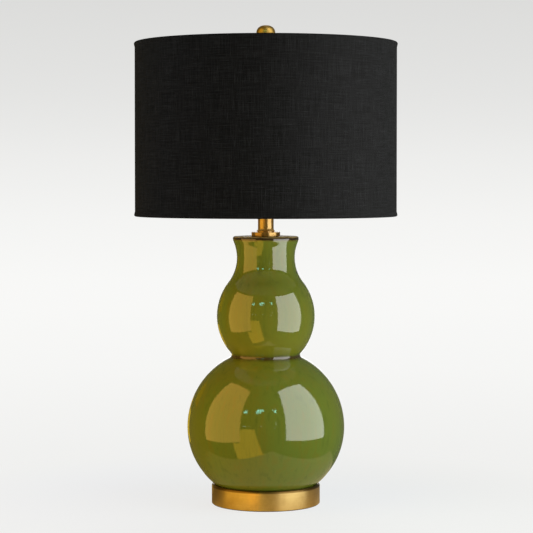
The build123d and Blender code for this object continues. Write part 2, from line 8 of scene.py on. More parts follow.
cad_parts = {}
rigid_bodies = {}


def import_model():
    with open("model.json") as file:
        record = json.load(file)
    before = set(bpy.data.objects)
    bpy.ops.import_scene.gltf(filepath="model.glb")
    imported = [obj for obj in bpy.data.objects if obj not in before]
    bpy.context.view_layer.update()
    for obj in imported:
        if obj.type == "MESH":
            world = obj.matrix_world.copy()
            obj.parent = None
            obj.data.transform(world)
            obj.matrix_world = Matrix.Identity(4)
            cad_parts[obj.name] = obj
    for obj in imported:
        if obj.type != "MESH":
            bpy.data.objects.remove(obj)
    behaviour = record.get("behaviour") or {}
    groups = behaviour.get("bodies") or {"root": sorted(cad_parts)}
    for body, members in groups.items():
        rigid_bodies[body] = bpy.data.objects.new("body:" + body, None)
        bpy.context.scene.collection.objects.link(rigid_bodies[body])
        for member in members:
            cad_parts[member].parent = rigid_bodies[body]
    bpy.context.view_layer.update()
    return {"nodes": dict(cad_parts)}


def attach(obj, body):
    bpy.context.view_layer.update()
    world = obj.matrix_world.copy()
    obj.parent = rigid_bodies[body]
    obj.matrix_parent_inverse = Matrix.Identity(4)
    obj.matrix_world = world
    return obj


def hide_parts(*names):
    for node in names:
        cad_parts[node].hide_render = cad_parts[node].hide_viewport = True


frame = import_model()

# A double gourd table lamp. Outlines are in millimetres as (radius, height), and objects in metres.
MM = 0.001
NODES = frame["nodes"]


# ---- outlines

def on_circle(centre, radius, angle):
    turn = radians(angle)
    return (centre[0] + radius * cos(turn), centre[1] + radius * sin(turn))


def bearing(centre, point):
    return degrees(atan2(point[1] - centre[1], point[0] - centre[0]))


def arc(centre, start, end, count):
    """Points of the short arc about a centre, both ends included."""
    radius = dist(centre, start)
    first = bearing(centre, start)
    turn = (bearing(centre, end) - first + 180) % 360 - 180
    return [on_circle(centre, radius, first + turn * i / count) for i in range(count + 1)]


def bulge(wide, narrow):
    """Centre and radius of the arc widest at one point that passes through the other."""
    inset, rise = wide[0] - narrow[0], narrow[1] - wide[1]
    radius = (inset**2 + rise**2) / (2 * inset)
    return (wide[0] - radius, wide[1]), radius


def hollow_arc(start, end, radius, count):
    """Points of the arc with a radius between two points, curved in toward the axis."""
    chord = dist(start, end)
    away = sqrt(radius**2 - (chord / 2) ** 2)
    across, rise = (end[1] - start[1]) / chord, (start[0] - end[0]) / chord
    centre = ((start[0] + end[0]) / 2 + across * away, (start[1] + end[1]) / 2 + rise * away)
    return arc(centre, start, end, count)


def raised(base, points):
    """Points given above a base height."""
    return [(p[0], base + p[1], *p[2:]) for p in points]


def rounded(corners):
    """Points of an outline whose corners given as (radius, height, rounding) are rounded."""
    points = []
    last = len(corners) - 1
    for i, corner in enumerate(corners):
        here = Vector(corner[:2])
        if len(corner) < 3 or i in (0, last):
            points.append(tuple(here))
            continue
        before = Vector(corners[i - 1][:2]) - here
        after = Vector(corners[i + 1][:2]) - here
        half = before.angle(after) / 2
        back = min(corner[2] / tan(half), 0.48 * before.length, 0.48 * after.length)
        start = here + before.normalized() * back
        end = here + after.normalized() * back
        for t in (0, 0.2, 0.4, 0.6, 0.8, 1):
            points.append(tuple(start * (1 - t) ** 2 + here * 2 * t * (1 - t) + end * t**2))
    return points


# ---- meshes

def finish_mesh(name, verts, faces, uvs=None, sharp=35.0, smooth=True):
    mesh = bpy.data.meshes.new(name)
    mesh.from_pydata(verts, [], faces)
    if uvs is not None:
        layer = mesh.uv_layers.new(name="surface")
        layer.data.foreach_set("uv", [c for face in uvs for uv in face for c in uv])
    mesh.validate(clean_customdata=False)
    if smooth:
        mesh.shade_smooth()
        mesh.set_sharp_from_angle(angle=radians(sharp))
    obj = bpy.data.objects.new(name, mesh)
    bpy.context.scene.collection.objects.link(obj)
    return obj


def turned(name, outline, steps=0, closed=True, angles=None, sharp=35.0, place=None):
    """A turned mesh. outline is a list of (radius, height) in mm, or a function of the angle that gives one.
    Its UVs are in metres: round at the widest radius, and along the outline."""
    if angles is None:
        angles = [2 * pi * i / steps - pi for i in range(steps)]
    columns = [outline(a) if callable(outline) else outline for a in angles]
    rows = len(columns[0])
    widest = max(p[0] for p in columns[0]) * MM
    along = [0.0]
    for p, q in zip(columns[0], columns[0][1:] + columns[0][:1]):
        along.append(along[-1] + dist(p, q) * MM)
    place = place or Matrix.Identity(4)
    verts, index, poles = [], [], {}  # poles keeps one shared point for each row on the axis
    for a, column in zip(angles, columns):
        ids = []
        for row, (radius, height) in enumerate(column):
            on_axis = radius < 1e-6
            if not on_axis or row not in poles:
                poles[row] = len(verts)
                across = 0 if on_axis else radius * MM
                verts.append(place @ Vector((across * cos(a), across * sin(a), height * MM)))
            ids.append(poles[row])
        index.append(ids)
    faces, uvs = [], []
    for i, a0 in enumerate(angles):
        after = (i + 1) % len(angles)
        a1 = angles[after] + (0 if after else 2 * pi)
        left, right = index[i], index[after]
        for j in range(rows if closed else rows - 1):
            k = (j + 1) % rows
            corners = {}
            for v, a, run in ((left[j], a0, j), (right[j], a1, j), (right[k], a1, j + 1),
                              (left[k], a0, j + 1)):
                corners.setdefault(v, (a * widest, along[run]))
            if len(corners) > 2:
                faces.append(list(corners))
                uvs.append(list(corners.values()))
    return finish_mesh(name, verts, faces, uvs, sharp)


def swept(name, path, section):
    """A mesh along a path of points in metres. section(i) gives (half width, half thickness, power)
    of the superellipse there; the width lies along Y."""
    last, ring = len(path) - 1, 24
    verts, faces = [], []
    for i, p in enumerate(path):
        tangent = (path[min(i + 1, last)] - path[max(i - 1, 0)]).normalized()
        side = Vector((0, 1, 0))
        side = (side - tangent * side.dot(tangent)).normalized()
        up = tangent.cross(side)
        half_width, half_thick, power = section(i)
        for k in range(ring):
            c, s = on_circle((0, 0), 1, 360 * k / ring)
            x = copysign(abs(c) ** (2 / power), c) * half_width
            y = copysign(abs(s) ** (2 / power), s) * half_thick
            verts.append(p + side * x + up * y)
    for i in range(last):
        for k in range(ring):
            m = (k + 1) % ring
            faces.append([i * ring + k, i * ring + m, (i + 1) * ring + m, (i + 1) * ring + k])
    faces += [list(range(ring))[::-1], [last * ring + k for k in range(ring)]]
    return finish_mesh(name, verts, faces, sharp=50.0)


def bent_wire(corners, radii):
    """Points in metres along runs between corners, given in mm, with arcs at the inner corners."""
    corners = [Vector(c) * MM for c in corners]
    points = [corners[0]]
    spacing = 0.0015

    def run_to(end):
        run = end - points[-1]
        steps = max(1, int(run.length / (6 * spacing)))
        if run.length > 1e-6:
            points.extend([points[-1] + run * ((k + 1) / steps) for k in range(steps)])

    for before, here, after, radius in zip(corners, corners[1:], corners[2:], radii):
        before, after, radius = (before - here).normalized(), (after - here).normalized(), radius * MM
        half = before.angle(after) / 2
        back = radius / tan(half)
        start, end = here + before * back, here + after * back
        centre = here + (before + after).normalized() * (radius / sin(half))
        run_to(start)
        a, b = start - centre, end - centre
        steps = max(6, int(a.angle(b) * radius / spacing))
        axis = a.cross(b).normalized()
        if (points[-1] - start).length < 1e-9:
            points.pop()
        points += [centre + Matrix.Rotation(a.angle(b) * k / steps, 3, axis) @ a for k in range(steps + 1)]
    run_to(corners[-1])
    return points


def modify(obj, kind, **settings):
    """Puts a modifier on a piece."""
    mod = obj.modifiers.new(kind.lower(), kind)
    for key, value in settings.items():
        setattr(mod, key, value)


def extruded(name, outline, low, high, bevel, hole=None):
    """A flat plate from an outline of (x, y) in mm, with an optional round hole at its centre."""
    rim = [on_circle((0, 0), hole, bearing((0, 0), p)) for p in outline] if hole else []
    verts = [(x * MM, y * MM, z * MM) for z in (low, high) for x, y in outline + rim]
    n, m = len(outline), len(outline) + len(rim)
    sides = [(i, (i + 1) % n) for i in range(n)]
    faces = [[i, j, m + j, m + i] for i, j in sides]
    if hole:
        for i, j in sides:
            faces += [[i, n + i, n + j, j], [m + i, m + j, m + n + j, m + n + i],
                      [n + i, m + n + i, m + n + j, n + j]]
    else:
        faces += [list(range(n))[::-1], [n + i for i in range(n)]]
    obj = finish_mesh(name, verts, faces, sharp=30.0)
    modify(obj, "BEVEL", width=bevel * MM, segments=3, limit_method="ANGLE", angle_limit=radians(50))
    return obj


def joined(name, first, *others):
    """One object from several, which are removed."""
    every = [first, *others]
    with bpy.context.temp_override(active_object=first, object=first, selected_objects=every,
                                   selected_editable_objects=every):
        bpy.ops.object.join()
    first.name = name
    return first


def baked(obj):
    """obj with its modifiers worked into its mesh."""
    graph = bpy.context.evaluated_depsgraph_get()
    graph.update()
    mesh = bpy.data.meshes.new_from_object(obj.evaluated_get(graph), depsgraph=graph)
    obj.modifiers.clear()
    obj.data = mesh
    return obj


def lying(height, turn=-90):
    """Lays a turned piece down at a height, its axis pointing back, or forward with a turn of 90."""
    return Matrix.Translation((0, 0, height * MM)) @ Matrix.Rotation(radians(turn), 4, "X")


def drilled(obj, radius, near, far, place, steps):
    """obj with a round hole from near to far along its place's axis."""
    tool = turned("hole", [(0, near), (radius, near), (radius, far), (0, far)], steps, closed=False,
                  place=place)
    modify(obj, "BOOLEAN", operation="DIFFERENCE", solver="EXACT", object=tool)
    baked(obj)
    bpy.data.objects.remove(tool)
    obj.data.set_sharp_from_angle(angle=radians(35))
    return obj


def wear(obj, body, material, slot, *replaced):
    """Gives a piece its material, and lets it ride on a body in place of CAD nodes. Its slot is not used."""
    obj.data.materials.clear()
    obj.data.materials.append(material)
    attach(obj, body)
    if replaced:
        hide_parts(*replaced)
    return obj


# ---- materials

def linear(*srgb):
    """A colour given as sRGB 0-255, in the linear values that the shaders take."""
    out = []
    for c in srgb:
        c /= 255
        out.append(c / 12.92 if c <= 0.04045 else ((c + 0.055) / 1.055) ** 2.4)
    return (*out, 1.0)


class Shader:
    """A material with short calls that add and link its nodes."""

    def __init__(self, name, base, roughness=0.5, metallic=0.0, **constants):
        self.material = bpy.data.materials.new(name)
        self.material.use_nodes = True
        self.tree = self.material.node_tree
        self.surface = self.tree.nodes["Principled BSDF"]
        self.set(Base_Color=base, Roughness=roughness, Metallic=metallic, **constants)

    def plug(self, socket, value):
        if isinstance(value, bpy.types.NodeSocket):
            self.tree.links.new(value, socket)
        else:
            socket.default_value = value

    def set(self, **values):
        """Sets or links the surface's sockets, their spaces given as underscores."""
        for key, value in values.items():
            self.plug(self.surface.inputs[key.replace("_", " ")], value)

    def add(self, kind, inputs=None, output=0, **settings):
        node = self.tree.nodes.new("ShaderNode" + kind)
        for key, value in settings.items():
            setattr(node, key, value)
        for key, value in (inputs or {}).items():
            self.plug(node.inputs[key], value)
        return node.outputs[output]

    def coords(self, scale=(1, 1, 1), uv=False):
        source = self.add("UVMap", uv_map="surface") if uv else self.add("TexCoord", output="Object")
        return self.add("Mapping", {"Vector": source, "Scale": scale})

    def part(self, vector, axis):
        return self.add("SeparateXYZ", {"Vector": vector}, output=axis)

    def position(self, axis="Z"):
        return self.part(self.add("TexCoord", output="Object"), axis)

    def noise(self, vector, scale, detail=3.0, rough=0.5, distortion=0.0):
        return self.add("TexNoise", {"Vector": vector, "Scale": scale, "Detail": detail,
                                     "Roughness": rough, "Distortion": distortion}, output="Fac")

    def ramp(self, value, *stops):
        """stops are (place, colour), the colour linear RGBA."""
        node = self.tree.nodes.new("ShaderNodeValToRGB")
        elements = node.color_ramp.elements
        while len(elements) < len(stops):
            elements.new(0.5)
        for element, (place, colour) in zip(elements, stops):
            element.position = place
            element.color = colour
        self.tree.links.new(value, node.inputs["Fac"])
        return node.outputs["Color"]

    def mix(self, factor, a, b, blend="MIX"):
        return self.add("Mix", {0: factor, 6: a, 7: b}, output=2, data_type="RGBA", blend_type=blend)

    def math(self, operation, *values):
        return self.add("Math", dict(enumerate(values)), operation=operation)

    def map(self, value, low, high, to_low=0.0, to_high=1.0, smooth=False):
        return self.add("MapRange", {"Value": value, "From Min": low, "From Max": high,
                                     "To Min": to_low, "To Max": to_high},
                        interpolation_type="SMOOTHSTEP" if smooth else "LINEAR")

    def over(self, colour, value, low, high, share, *tone, smooth=False):
        """The colour with an sRGB tone laid over it, more so as the value goes from low to high."""
        return self.mix(self.map(value, low, high, 0.0, share, smooth), colour, linear(*tone))

    def bump(self, height, distance, strength=1.0, **normal):
        inputs = {"Height": height, "Distance": distance, "Strength": strength, **normal}
        return self.add("Bump", inputs, output="Normal")


def glaze_material():
    """Olive stoneware glaze: faint streaks that run down, brown where it thins on the rim, a dark brown band
    along the waist crease, and painted light just above the crease.
    """
    s = Shader("olive_glaze", linear(93, 103, 28), roughness=0.05, IOR=1.5)
    broad = s.noise(s.coords((1, 1, 0.45)), 11, detail=2)
    streak = s.noise(s.coords((1, 1, 0.05)), 120, detail=4, rough=0.6)
    fine = s.noise(s.coords((1, 1, 0.25)), 420, rough=0.6)
    z, crease = s.position(), 0.2293
    wobble = s.noise(s.coords(), 60)
    shifted, lip = (s.math("ADD", z, s.map(wobble, 0.2, 0.8, -d, d)) for d in (0.0010, 0.0006))
    ring = s.math("ABSOLUTE", s.math("SUBTRACT", shifted, crease))
    # Painted light: the upper bulb's lowest part is lightened just above the crease, where the lower bulb
    # shades it.
    painted_light_band = s.math("MULTIPLY", s.map(z, 0.232, 0.238, smooth=True), s.map(z, 0.282, 0.245, smooth=True))
    colour = s.mix(s.map(broad, 0.35, 0.65, smooth=True), linear(103, 110, 33), linear(97, 113, 37))
    colour = s.over(colour, streak, 0.52, 0.8, 0.7, 114, 104, 24)
    colour = s.over(colour, streak, 0.46, 0.24, 0.7, 80, 95, 28)
    colour = s.over(colour, fine, 0.6, 0.85, 0.3, 70, 66, 20)
    colour = s.mix(s.math("MULTIPLY", painted_light_band, 0.8), colour, linear(114, 116, 33))
    # A dark band along the waist crease, and the rim brown where the glaze thins, lighter on its bare top.
    for value, low, high, share, tone in (
            (ring, 0.0060, 0.0018, 0.5, (66, 62, 22)), (ring, 0.0030, 0.0014, 0.8, (58, 40, 16)),
            (lip, 0.4065, 0.4085, 0.5, (110, 98, 40)), (lip, 0.4086, 0.4100, 1, (50, 35, 14)),
            (lip, 0.4128, 0.4134, 1, (150, 128, 74))):
        colour = s.over(colour, value, low, high, share, *tone, smooth=True)
    dry = s.map(z, 0.4128, 0.4136, 0, 0.38)
    ripple = s.noise(s.coords((1, 1, 0.6)), 26, detail=2)
    s.set(Base_Color=colour, Roughness=s.math("ADD", s.map(fine, 0.3, 0.7, 0.04, 0.07), dry),
          Normal=s.bump(fine, 0.00003, 1, Normal=s.bump(ripple, 0.0004, 0.35)))
    return s.material


def brass(name, base, dark, roughness, anisotropic=0, brushed=True, shaded_top=None):
    """Lacquered brass: turning marks round it, a little tarnish and finger haze, and where asked a painted
    shade above a height. base and dark are sRGB.
    """
    s = Shader(name, linear(*base), roughness=roughness, metallic=1)
    lines = s.noise(s.coords((6, 6, 1600) if brushed else (900, 900, 900)), 1, rough=0.7)
    cloud = s.noise(s.coords(), 45, detail=4, rough=0.6)
    spots = s.noise(s.coords(), 320, detail=2)
    colour = linear(*base)
    for value, low, high, share in ((cloud, 0.42, 0.72, 0.55), (lines, 0.35, 0.7, 0.25),
                                    (spots, 0.70, 0.80, 0.3)):
        colour = s.over(colour, value, low, high, share, *dark)
    # Painted shade: above a height the brass turns darker, where the gourd overhangs and shades the foot's
    # crown.
    if shaded_top:
        low, high, tone = shaded_top
        colour = s.over(colour, s.position(), low, high, 0.9, *tone, smooth=True)
    haze = s.map(cloud, 0.3, 0.7, roughness - 0.05, roughness + 0.06)
    s.set(Base_Color=colour, Roughness=s.math("ADD", haze, s.map(lines, 0.3, 0.7, -0.04, 0.05)))
    if anisotropic:
        s.set(Anisotropic=anisotropic, Anisotropic_Rotation=0.25,
              Tangent=s.add("Tangent", direction_type="RADIAL", axis="Z"))
    s.set(Normal=s.bump(lines, 0.00003, 0.6))
    return s.material


def cloth_material():
    """Black linen over a drum: a plain weave of uneven threads with slubs both ways."""
    s = Shader("black_linen", linear(13, 13, 13), roughness=0.8, Specular_IOR_Level=0.08,
               Sheen_Weight=0.01, Sheen_Roughness=0.5, Sheen_Tint=linear(190, 190, 186))
    uv = s.coords(uv=True)
    pitch = 0.0009
    wave = [s.math("SINE", s.math("MULTIPLY", s.part(uv, axis), 2 * pi / pitch)) for axis in "XY"]
    weave = s.math("MULTIPLY_ADD", s.math("MULTIPLY", *wave), 0.5, 0.5)
    thread = [s.noise(s.coords(scale, uv=True), 1, rough=0.7) for scale in ((22, 850, 1), (850, 22, 1))]
    slub = [s.noise(s.coords(scale, uv=True), 1, detail=2) for scale in ((55, 640, 1), (640, 55, 1))]
    thick = s.math("ADD", *[s.map(t, 0.3, 0.72, 0, 0.5) for t in thread])
    slubs = s.math("MAXIMUM", *[s.map(t, 0.60, 0.74) for t in slub])
    height = s.math("ADD", s.math("MULTIPLY_ADD", weave, 0.35, thick), slubs)
    colour = s.over(linear(2.4, 2.5, 2.8), thick, 0.34, 0.70, 1, 22.5, 23.2, 25)
    colour = s.over(colour, slubs, 0, 1, 0.6, 33, 34, 36)
    colour = s.over(colour, weave, 0.35, 0, 0.5, 3, 3, 3)
    s.set(Base_Color=colour, Normal=s.bump(height, 0.00025, 0.8))
    return s.material


def plastic(name, base, dark, roughness, grain=600, depth=0.00003):
    s = Shader(name, linear(*base), roughness=roughness)
    cloud = s.noise(s.coords(), 30)
    texture = s.noise(s.coords(), grain, rough=0.6)
    s.set(Base_Color=s.over(linear(*base), cloud, 0.35, 0.7, 0.6, *dark),
          Roughness=s.map(texture, 0.3, 0.7, roughness - 0.04, roughness + 0.05),
          Normal=s.bump(texture, depth, 0.7))
    return s.material


def steel(name, base, dark, roughness, thread_pitch=None):
    s = Shader(name, linear(*base), roughness=roughness, metallic=1)
    cloud = s.noise(s.coords(), 160, detail=4, rough=0.6)
    s.set(Base_Color=s.over(linear(*base), cloud, 0.4, 0.75, 0.7, *dark),
          Roughness=s.map(cloud, 0.3, 0.7, roughness - 0.06, roughness + 0.08))
    if thread_pitch:
        turn = s.math("MULTIPLY", s.position(), 2 * pi / thread_pitch)
        s.set(Normal=s.bump(s.math("SINE", turn), 0.0003, 0.8))
    else:
        s.set(Normal=s.bump(cloud, 0.00002, 0.5))
    return s.material


def fibre(name, base, dark, roughness=0.95, fuzz=True):
    s = Shader(name, linear(*base), roughness=roughness)
    if fuzz:
        s.set(Sheen_Weight=0.4, Sheen_Roughness=0.6)
    hairs = s.noise(s.coords(), 900, detail=4, rough=0.75, distortion=1.5)
    tufts = s.noise(s.coords(), 160)
    colour = s.over(linear(*dark), hairs, 0.3, 0.75, 1, *base)
    colour = s.over(colour, tufts, 0.45, 0.75, 0.5, *dark)
    s.set(Base_Color=colour, Normal=s.bump(hairs, 0.0003 if fuzz else 0.00008, 0.8))
    return s.material


GLAZE = glaze_material()
# The foot's top edge gets a painted shade under the gourd.
FOOT_BRASS = brass("foot_brass", (206, 172, 104), (176, 138, 74), 0.40, anisotropic=0.75,
                            shaded_top=(0.0262, 0.0282, (118, 86, 40)))
SATIN_BRASS = brass("satin_brass", (214, 168, 90), (180, 130, 60), 0.30, anisotropic=0.75)
FINIAL_BRASS = brass("finial_brass", (190, 154, 76), (146, 110, 46), 0.43)
SOCKET_BRASS = brass("socket_brass", (224, 184, 110), (176, 132, 66), 0.20)
HARP_BRASS = brass("harp_brass", (214, 170, 98), (160, 118, 56), 0.28, brushed=False)
ZINC = steel("zinc_steel", (188, 188, 184), (140, 140, 138), 0.36)
THREADED = steel("threaded_steel", (188, 186, 178), (132, 130, 126), 0.38, thread_pitch=0.00094)
CAP_METAL = steel("nickel_cap", (205, 204, 200), (160, 158, 152), 0.26)
FELT = fibre("black_felt", (38, 38, 38), (14, 14, 14))
FIBRE = fibre("grey_fibre", (150, 128, 98), (116, 96, 70), 0.85, fuzz=False)
RUBBER = plastic("black_rubber", (34, 34, 34), (24, 24, 24), 0.62)
PHENOLIC = plastic("black_phenolic", (36, 33, 32), (24, 22, 21), 0.42)
KNOB = plastic("black_knob", (22, 22, 22), (15, 15, 15), 0.22, grain=900, depth=0.00001)
STYRENE = plastic("white_styrene", (232, 230, 224), (222, 219, 211), 0.5, grain=260)
BULB_WHITE = plastic("bulb_white", (236, 236, 232), (228, 228, 223), 0.45)
BULB_GLOBE = plastic("bulb_frosted", (242, 241, 236), (236, 235, 229), 0.38, grain=1400, depth=0.00001)
CLOTH = cloth_material()

# ---- sizes, as in the CAD source

GOURD_Z, FOOT_TOP, CORD_Z = 20.0, 30.6, 10.0
LOWER, WAIST, UPPER, NECK = (121.87, 118.93), (50.17, 229.13), (75.98, 290.70), (44.98, 381.34)
CHECK_TOP, NECK_TOP, SADDLE_TOP, CAP_Z, SHELL_Z = 421.0, 466.0, 467.6, 472.1, 488.6
BODY_TOP, SHAFT_Z, SCREW_PITCH = 509.6, 499.6, 3.63
BULB_Z, BULB_TOP = 512.3, 621.3
SHADE_LOW, SHADE_TOP = 445.3, 713.5
WALL_R, RING_R, WIRE_R = 201.95, 201.0, 1.6
WIRE_IN = WIRE_R + 1.0  # from the shade's edge to the middle of its wire
ARMS = (90.0, 210.0, 330.0)
LEG_X, LEG_Z, PLATE_TOP = 33.5, 467.7, 698.0
SHOULDER_Z, HUB_Z, FINIAL_Z = 698.1, 699.5, 702.0


# ---- gourd, foot and neck

def crease_centre(low, low_radius, high, high_radius, fillet):
    """Centre of the fillet that touches both bulbs' arcs from outside."""
    apart = dist(low, high)
    a, b = low_radius + fillet, high_radius + fillet
    share = (a**2 - b**2 + apart**2) / (2 * apart)
    lift = sqrt(a**2 - share**2)
    ux, uz = (high[0] - low[0]) / apart, (high[1] - low[1]) / apart
    x, z = low[0] + ux * share, low[1] + uz * share
    return max(((x + uz * lift * k, z - ux * lift * k) for k in (-1, 1)), key=lambda p: p[0])


def gourd():
    seat, neck_radius = (78.9, FOOT_TOP), 61.48
    low_down = bulge(LOWER, seat)[0]
    low_up, low_radius = bulge(LOWER, WAIST)
    up_down, up_radius = bulge(UPPER, WAIST)
    shoulder = bulge(UPPER, NECK)[1]
    up_up = (UPPER[0] - shoulder * 0.585, UPPER[1])
    neck_down = (NECK[0] + shoulder * 0.415, NECK[1])
    neck_up = (NECK[0] + neck_radius, NECK[1])
    join = on_circle(up_up, shoulder * 0.585, bearing(up_up, neck_down))
    crease = crease_centre(low_up, low_radius, up_down, up_radius, 4.5)
    touch_low = on_circle(low_up, low_radius, bearing(low_up, crease))
    touch_high = on_circle(up_down, up_radius, bearing(up_down, crease))
    flare = on_circle(neck_up, neck_radius, 180 - 19.5)
    points = [(62.6 + 16.3 * t, GOURD_Z + 10.6 * t) for t in (0, 0.3, 0.6)] + [seat]
    for centre, start, end, count in (
            (low_down, seat, LOWER, 44), (low_up, LOWER, touch_low, 60), (crease, touch_low, touch_high, 12),
            (up_down, touch_high, UPPER, 36), (up_up, UPPER, join, 40), (neck_down, join, NECK, 30),
            (neck_up, NECK, flare, 20)):
        points += arc(centre, start, end, count)[1:]
    # The neck's arc runs out into a straight flare, then the rim is rolled over a flat top.
    points += [(flare[0] + 0.354 * d, flare[1] + d) for d in (1.5, 3, 4.5, 6)]
    points += [(50.95, 409), (51.15, 410.2), (51.1, 411.6), (50.75, 412.9), (50, 413.9), (48.9, 414.4),
               (47.6, 414.5), (46, 414.3), (44.4, 414)]
    # The closed flat top, then the cavity a wall inside the outline.
    points += [(42, 413.9), (32, 413.8), (8, 413.9), (8, 407.5)]
    points += [(42, 404.5), (NECK[0] - 6.5, NECK[1]), (42.5, 359), (48, 346), (60.5, 326), (69.5, 290.7),
               (62, 255), (44, 229), (80, 190), (106, 155), (115.4, 118.9), (104, 65),
               (73, 33), (45.6, 28), (20, 28), (20, 23), (45.6, 23), (45.6, GOURD_Z)]
    wear(turned("gourd", points, 256), "lamp", GLAZE, "glaze", "gourd_body")


def brass_foot():
    """Spun brass foot with softly broken edges and the cord's hole through its back wall."""
    profile = rounded([(71.9, 1), (83.9, 1, 0.7), (83.9, 20)])
    profile += arc((80.9, 27.6), (83.9, 27.6), (80.9, 30.6), 14)
    profile += rounded([(80.9, 30.6), (79.2, 30.6, 0.6), (79.2, 28.1, 0.4), (81.4, 28.1)])[1:]
    profile += [(81.4, 19), (5, 19), (5, 16.5), (81.4, 16.5), (81.4, 3.5), (71.9, 3.5)]
    foot = drilled(turned("brass_foot", profile, 256), 5.1, 70, 95, lying(CORD_Z), 48)
    wear(foot, "lamp", FOOT_BRASS, "satin_brass", "base_ring")


def cord_bush():
    """Snap-in rubber bush with a rounded lip on each side of the foot's wall."""
    profile = rounded([(3.9, 79.8, 0.5), (3.9, 85.5, 0.7), (6.4, 85.5, 1.1), (6.4, 83.95, 0.3), (5.1, 83.8),
                       (5.1, 81.4), (6.4, 81.3, 0.3), (6.4, 79.8, 0.8), (3.9, 79.8)])
    wear(turned("cord_bush_soft", profile, 64, place=lying(CORD_Z)), "lamp", RUBBER, "rubber", "cord_bush")


def check_ring():
    profile = rounded(raised(CHECK_TOP, [
        (5, -6.5), (22.2, -6.5, 0.35), (22.2, 0, 0.45), (19, 0, 0.2), (18.7, -0.2, 0.1), (18.4, 0, 0.2),
        (5, 0)]))
    wear(turned("check_ring_brass", profile, 160), "lamp", SATIN_BRASS, "satin_brass", "check_ring")


def neck_tube():
    """Neck tube whose foot has a groove over the check ring and a small bead under the cove."""
    profile = raised(CHECK_TOP, [(12.9, 0), (12.9, 0.9), (13.9, 1), (14.2, 1.35), (14.25, 1.7), (14.1, 2.1),
                                 (13.7, 2.4)])
    cove_end = (12.2, CHECK_TOP + 5.2)
    profile += hollow_arc((13.4, CHECK_TOP + 2.5), cove_end, 5.6, 10)
    profile += rounded([cove_end, (12.2, NECK_TOP - 2), (12.2, NECK_TOP, 0.8), (5, NECK_TOP)])[1:]
    profile += [(5, NECK_TOP - 2), (10.9, NECK_TOP - 2), (10.9, CHECK_TOP)]
    wear(turned("neck_tube_brass", profile, 160), "lamp", SATIN_BRASS, "satin_brass", "neck_tube")


# ---- harp and saddle

def hex_nut(name, low, high):
    """Hexagon nut whose corners are chamfered at both ends."""
    flat, cone, sixth = 7, 6.85, radians(60)

    def section(a):
        r = flat / cos((a + sixth / 2) % sixth - sixth / 2)
        rise = (r - cone) * 0.58
        return [(5, low), (cone, low), (r, low + rise), (r, high - rise), (cone, high), (5, high)]
    return turned(name, section, angles=[radians(i * 60 + j * 5) for i in range(6) for j in range(12)],
                  sharp=22.0)


def nuts():
    both = joined("hex_nuts", hex_nut("nut_above", SADDLE_TOP, CAP_Z), hex_nut("nut_below", 10.8, 15.3))
    wear(both, "lamp", ZINC, "zinc_steel", "lock_nuts")


def saddle():
    """Pressed strap with a round hub and an upright half tube at each end."""
    half, reach, hub = 3.5, LEG_X, 11.0
    meet = sqrt(hub**2 - half**2)
    gap = (reach - meet) / 10
    outline = arc((reach, 0), (reach, -half), (reach + half, 0), 8)[:-1]
    outline += arc((reach, 0), (reach + half, 0), (reach, half), 8)
    outline += [(reach - i * gap, half) for i in range(1, 10)]
    outline += arc((0, 0), (meet, half), (0, hub), 10)[:-1] + arc((0, 0), (0, hub), (-meet, half), 10)[:-1]
    outline += [(-meet - i * gap, half) for i in range(10)]
    outline += [(-x, -y) for x, y in outline]
    plate = extruded("saddle_plate", outline, NECK_TOP, SADDLE_TOP, 0.3, hole=5.0)
    prongs = []
    for side in (-1, 1):
        turns = [90 + 180 * k / 14 for k in range(15)]
        section = [on_circle((0, 0), 2.4, turn) for turn in turns]
        section += [on_circle((0, 0), 1.7, turn) for turn in turns[::-1]]
        section = [(side * (LEG_X + x), y) for x, y in section][::side]
        prongs.append(extruded("prong", section, SADDLE_TOP - 0.3, SADDLE_TOP + 12.4, 0.15))
    whole = [baked(obj) for obj in (plate, *prongs)]
    wear(joined("saddle_pressed", *whole), "lamp", HARP_BRASS, "harp_brass", "harp_saddle")


def ferrule(side):
    name, bore, outer = ("right" if side > 0 else "left"), 2.5, 3.3
    profile = rounded(raised(SADDLE_TOP + 0.3, [
        (bore, 0), (outer, 0, 0.3), (outer, 1.6, 0.1), (outer - 0.25, 1.9, 0.1), (outer, 2.2, 0.1),
        (outer, 13, 0.8),
        (outer - 0.5, 14, 0.3), (bore, 14, 0.2), (bore, 13)]))
    tube = turned(f"ferrule_{name}_turned", profile, 64, place=Matrix.Translation((side * LEG_X * MM, 0, 0)))
    wear(tube, f"{name}_ferrule", HARP_BRASS, "harp_brass", f"ferrule_{name}")


def harp():
    """One bent wire whose top is pressed flat for the stud."""
    wire_z, wire = PLATE_TOP - 1, 1.6
    right = bent_wire([(LEG_X, 0, LEG_Z), (LEG_X, 0, LEG_Z + 37), (56, 0, LEG_Z + 80), (56, 0, wire_z - 52.3),
                       (30, 0, wire_z), (0, 0, wire_z)], (60, 60, 60, 30))
    path = right[:-1] + [Vector((-p.x, p.y, p.z)) for p in reversed(right)]
    clean = [path[0]]
    for p in path[1:]:
        if (p - clean[-1]).length > 0.0006:
            clean.append(p)

    def section(i):
        x = abs(clean[i].x) / MM
        if clean[i].z > (wire_z - 1.5) * MM and x < 20:
            t = max(0, min(1, (x - 9) / 8))
            t = t * t * (3 - 2 * t)
            return ((7.0 * (1 - t) + wire * t) * MM, (1.0 * (1 - t) + wire * t) * MM, 2.0 + 3.0 * (1 - t))
        return (wire * MM, wire * MM, 2)
    dense = []
    for p, q in zip(clean, clean[1:]):
        steps = max(1, int((q - p).length / 0.0012)) if abs(p.x) < 0.02 and p.z > 0.69 else 1
        dense += [p + (q - p) * (k / steps) for k in range(steps)]
    clean = dense + [clean[-1]]
    wear(swept("harp_bent", clean, section), "harp", HARP_BRASS, "harp_brass", "harp_bow")


def groove(z, a, pitch, depth):
    """Depth of a helical thread at a height and an angle."""
    return depth * 0.5 * (1 - cos(2 * pi * z / pitch - a))


